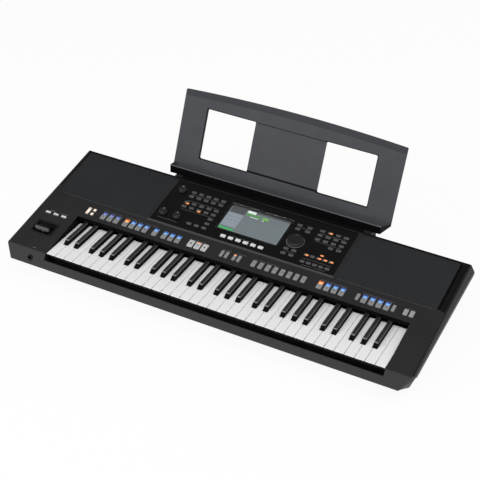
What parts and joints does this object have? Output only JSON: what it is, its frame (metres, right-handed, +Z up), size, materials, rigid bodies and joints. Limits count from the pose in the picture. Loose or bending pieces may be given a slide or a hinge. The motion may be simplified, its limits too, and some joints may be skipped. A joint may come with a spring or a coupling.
{
  "type": "arranger keyboard",
  "caption": "Dark arranger keyboard with piano keys, button strip, screen panel, joystick, side speakers and a lift-off music rest with two windows.",
  "frame": {"origin": "middle of the whole outline on the table plane", "axes": "+X along the keys to the treble end, +Y from the player to the back, +Z up"},
  "size_m": [1.02, 0.5091, 0.3267],
  "materials": {
    "upper_case": "fine spark texture",
    "lower_case": "fine spark texture",
    "rubber_feet": "matte",
    "case_screws": "blackened",
    "control_panel": "gloss",
    "display_glass": "gloss",
    "display_module": "lit screen",
    "switch_boards": "board laminate",
    "rotary_controls": "moulded",
    "left_speaker_grille": "perforated, matte",
    "right_speaker_grille": "perforated, matte",
    "woofer_frames": "pressed steel",
    "woofer_cones": "pulp cone",
    "tweeters": "moulded",
    "key_frame": "moulded",
    "key_pivot_rod": "drawn",
    "key_stop_felt": "felt",
    "key_contact_board": "board laminate",
    "contact_domes": "soft",
    "key_return_springs": "rolled",
    "joystick_bezel": "satin",
    "rear_jack_plate": "satin",
    "rear_jacks": "moulded",
    "phones_jack": "moulded",
    "usb_ports": "plated",
    "dc_inlet": "moulded",
    "power_switch": "moulded",
    "main_board": "board laminate",
    "power_amp_board": "board laminate",
    "heat_sink": "extruded",
    "c_keys": "gloss",
    "c_sharp_keys": "gloss",
    "d_keys": "gloss",
    "d_sharp_keys": "gloss",
    "e_keys": "gloss",
    "f_keys": "gloss",
    "f_sharp_keys": "gloss",
    "g_keys": "gloss",
    "g_sharp_keys": "gloss",
    "a_keys": "gloss",
    "a_sharp_keys": "gloss",
    "b_keys": "gloss",
    "joystick_gimbal": "moulded",
    "joystick_lever": "satin",
    "master_volume_knob": "satin",
    "left_live_knob": "satin",
    "right_live_knob": "satin",
    "data_dial": "satin",
    "power_button": "satin",
    "wing_buttons": "satin",
    "style_buttons": "satin",
    "transport_buttons": "satin",
    "registration_buttons": "satin",
    "pad_buttons": "satin",
    "octave_buttons": "satin",
    "left_panel_buttons": "satin",
    "right_panel_buttons": "satin",
    "screen_buttons": "satin",
    "music_rest": "fine spark texture",
    "music_rest_panel": "satin"
  },
  "bodies": {
    "case": {"upper_case": "upper_case", "lower_case": "lower_case", "rubber_feet": "rubber_feet", "case_screws": "case_screws", "control_panel": "control_panel", "display_glass": "display_glass", "display_module": "display_module", "switch_boards": "switch_boards", "rotary_controls": "rotary_controls", "left_speaker_grille": "left_speaker_grille", "right_speaker_grille": "right_speaker_grille", "woofer_frames": "woofer_frames", "woofer_cones": "woofer_cones", "tweeters": "tweeters", "key_frame": "key_frame", "key_pivot_rod": "key_pivot_rod", "key_stop_felt": "key_stop_felt", "key_contact_board": "key_contact_board", "contact_domes": "contact_domes", "key_return_springs": "key_return_springs", "joystick_bezel": "joystick_bezel", "rear_jack_plate": "rear_jack_plate", "rear_jacks": "rear_jacks", "phones_jack": "phones_jack", "usb_ports": "usb_ports", "dc_inlet": "dc_inlet", "power_switch": "power_switch", "main_board": "main_board", "power_amp_board": "power_amp_board", "heat_sink": "heat_sink"},
    "c_keys": {"c_keys": "c_keys"},
    "c_sharp_keys": {"c_sharp_keys": "c_sharp_keys"},
    "d_keys": {"d_keys": "d_keys"},
    "d_sharp_keys": {"d_sharp_keys": "d_sharp_keys"},
    "e_keys": {"e_keys": "e_keys"},
    "f_keys": {"f_keys": "f_keys"},
    "f_sharp_keys": {"f_sharp_keys": "f_sharp_keys"},
    "g_keys": {"g_keys": "g_keys"},
    "g_sharp_keys": {"g_sharp_keys": "g_sharp_keys"},
    "a_keys": {"a_keys": "a_keys"},
    "a_sharp_keys": {"a_sharp_keys": "a_sharp_keys"},
    "b_keys": {"b_keys": "b_keys"},
    "joystick_gimbal": {"joystick_gimbal": "joystick_gimbal"},
    "joystick_lever": {"joystick_lever": "joystick_lever"},
    "master_volume_knob": {"master_volume_knob": "master_volume_knob"},
    "left_live_knob": {"left_live_knob": "left_live_knob"},
    "right_live_knob": {"right_live_knob": "right_live_knob"},
    "data_dial": {"data_dial": "data_dial"},
    "power_button": {"power_button": "power_button"},
    "wing_buttons": {"wing_buttons": "wing_buttons"},
    "style_buttons": {"style_buttons": "style_buttons"},
    "transport_buttons": {"transport_buttons": "transport_buttons"},
    "registration_buttons": {"registration_buttons": "registration_buttons"},
    "pad_buttons": {"pad_buttons": "pad_buttons"},
    "octave_buttons": {"octave_buttons": "octave_buttons"},
    "left_panel_buttons": {"left_panel_buttons": "left_panel_buttons"},
    "right_panel_buttons": {"right_panel_buttons": "right_panel_buttons"},
    "screen_buttons": {"screen_buttons": "screen_buttons"},
    "music_rest": {"music_rest": "music_rest", "music_rest_panel": "music_rest_panel"}
  },
  "joints": [
    {"name": "c_keys_press", "type": "hinge", "parent": "case", "child": "c_keys", "pos_m": [0, -0.03447, 0.065], "axis": [1, 0, 0], "range_deg": [0, 2.9], "stiffness_Nm_per_rad": 1.5, "springref_deg": -22.92},
    {"name": "c_sharp_keys_press", "type": "hinge", "parent": "case", "child": "c_sharp_keys", "pos_m": [0, -0.03447, 0.065], "axis": [1, 0, 0], "range_deg": [0, 2.9], "stiffness_Nm_per_rad": 1.5, "springref_deg": -22.92},
    {"name": "d_keys_press", "type": "hinge", "parent": "case", "child": "d_keys", "pos_m": [0, -0.03447, 0.065], "axis": [1, 0, 0], "range_deg": [0, 2.9], "stiffness_Nm_per_rad": 1.5, "springref_deg": -22.92},
    {"name": "d_sharp_keys_press", "type": "hinge", "parent": "case", "child": "d_sharp_keys", "pos_m": [0, -0.03447, 0.065], "axis": [1, 0, 0], "range_deg": [0, 2.9], "stiffness_Nm_per_rad": 1.5, "springref_deg": -22.92},
    {"name": "e_keys_press", "type": "hinge", "parent": "case", "child": "e_keys", "pos_m": [0, -0.03447, 0.065], "axis": [1, 0, 0], "range_deg": [0, 2.9], "stiffness_Nm_per_rad": 1.5, "springref_deg": -22.92},
    {"name": "f_keys_press", "type": "hinge", "parent": "case", "child": "f_keys", "pos_m": [0, -0.03447, 0.065], "axis": [1, 0, 0], "range_deg": [0, 2.9], "stiffness_Nm_per_rad": 1.5, "springref_deg": -22.92},
    {"name": "f_sharp_keys_press", "type": "hinge", "parent": "case", "child": "f_sharp_keys", "pos_m": [0, -0.03447, 0.065], "axis": [1, 0, 0], "range_deg": [0, 2.9], "stiffness_Nm_per_rad": 1.5, "springref_deg": -22.92},
    {"name": "g_keys_press", "type": "hinge", "parent": "case", "child": "g_keys", "pos_m": [0, -0.03447, 0.065], "axis": [1, 0, 0], "range_deg": [0, 2.9], "stiffness_Nm_per_rad": 1.5, "springref_deg": -22.92},
    {"name": "g_sharp_keys_press", "type": "hinge", "parent": "case", "child": "g_sharp_keys", "pos_m": [0, -0.03447, 0.065], "axis": [1, 0, 0], "range_deg": [0, 2.9], "stiffness_Nm_per_rad": 1.5, "springref_deg": -22.92},
    {"name": "a_keys_press", "type": "hinge", "parent": "case", "child": "a_keys", "pos_m": [0, -0.03447, 0.065], "axis": [1, 0, 0], "range_deg": [0, 2.9], "stiffness_Nm_per_rad": 1.5, "springref_deg": -22.92},
    {"name": "a_sharp_keys_press", "type": "hinge", "parent": "case", "child": "a_sharp_keys", "pos_m": [0, -0.03447, 0.065], "axis": [1, 0, 0], "range_deg": [0, 2.9], "stiffness_Nm_per_rad": 1.5, "springref_deg": -22.92},
    {"name": "b_keys_press", "type": "hinge", "parent": "case", "child": "b_keys", "pos_m": [0, -0.03447, 0.065], "axis": [1, 0, 0], "range_deg": [0, 2.9], "stiffness_Nm_per_rad": 1.5, "springref_deg": -22.92},
    {"name": "joystick_to_and_fro", "type": "hinge", "parent": "case", "child": "joystick_gimbal", "pos_m": [-0.45199, -0.16618, 0.06517], "axis": [1, 0, 0], "range_deg": [-10, 10], "stiffness_Nm_per_rad": 0.06},
    {"name": "joystick_sideways", "type": "hinge", "parent": "joystick_gimbal", "child": "joystick_lever", "pos_m": [-0.45199, -0.16618, 0.06517], "axis": [0, 0.9847, 0.1741], "range_deg": [-12, 12], "stiffness_Nm_per_rad": 0.06},
    {"name": "master_volume_knob_turn", "type": "hinge", "parent": "case", "child": "master_volume_knob", "pos_m": [-0.214, 0.08701, 0.13228], "axis": [0, -0.1741, 0.9847], "range_deg": [-150, 150]},
    {"name": "left_live_knob_turn", "type": "hinge", "parent": "case", "child": "left_live_knob", "pos_m": [-0.2195, -0.00063, 0.11678], "axis": [0, -0.1741, 0.9847], "range_deg": [-150, 150]},
    {"name": "right_live_knob_turn", "type": "hinge", "parent": "case", "child": "right_live_knob", "pos_m": [-0.182, -0.00063, 0.11678], "axis": [0, -0.1741, 0.9847], "range_deg": [-150, 150]},
    {"name": "data_dial_turn", "type": "hinge", "parent": "case", "child": "data_dial", "pos_m": [0.114, 0.03482, 0.12305], "axis": [0, -0.1741, 0.9847], "continuous": true},
    {"name": "power_button_press", "type": "slide", "parent": "case", "child": "power_button", "axis": [0, -1, 0], "range_m": [0, 0.003], "stiffness_N_per_m": 600, "springref_m": -0.002},
    {"name": "wing_buttons_press", "type": "slide", "parent": "case", "child": "wing_buttons", "axis": [0, 0.1741, -0.9847], "range_m": [0, 0.001], "stiffness_N_per_m": 2000, "springref_m": -0.001},
    {"name": "style_buttons_press", "type": "slide", "parent": "case", "child": "style_buttons", "axis": [0, 0.1741, -0.9847], "range_m": [0, 0.001], "stiffness_N_per_m": 2000, "springref_m": -0.001},
    {"name": "transport_buttons_press", "type": "slide", "parent": "case", "child": "transport_buttons", "axis": [0, 0.1741, -0.9847], "range_m": [0, 0.001], "stiffness_N_per_m": 2000, "springref_m": -0.001},
    {"name": "registration_buttons_press", "type": "slide", "parent": "case", "child": "registration_buttons", "axis": [0, 0.1741, -0.9847], "range_m": [0, 0.001], "stiffness_N_per_m": 2000, "springref_m": -0.001},
    {"name": "pad_buttons_press", "type": "slide", "parent": "case", "child": "pad_buttons", "axis": [0, 0.1741, -0.9847], "range_m": [0, 0.001], "stiffness_N_per_m": 2000, "springref_m": -0.001},
    {"name": "octave_buttons_press", "type": "slide", "parent": "case", "child": "octave_buttons", "axis": [0, 0.1741, -0.9847], "range_m": [0, 0.001], "stiffness_N_per_m": 2000, "springref_m": -0.001},
    {"name": "left_panel_buttons_press", "type": "slide", "parent": "case", "child": "left_panel_buttons", "axis": [0, 0.1741, -0.9847], "range_m": [0, 0.001], "stiffness_N_per_m": 2000, "springref_m": -0.001},
    {"name": "right_panel_buttons_press", "type": "slide", "parent": "case", "child": "right_panel_buttons", "axis": [0, 0.1741, -0.9847], "range_m": [0, 0.001], "stiffness_N_per_m": 2000, "springref_m": -0.001},
    {"name": "screen_buttons_press", "type": "slide", "parent": "case", "child": "screen_buttons", "axis": [0, 0.1741, -0.9847], "range_m": [0, 0.001], "stiffness_N_per_m": 2000, "springref_m": -0.001},
    {"name": "music_rest_lift", "type": "slide", "parent": "case", "child": "music_rest", "axis": [0, 0, 1], "range_m": [0, 0.05]}
  ]
}
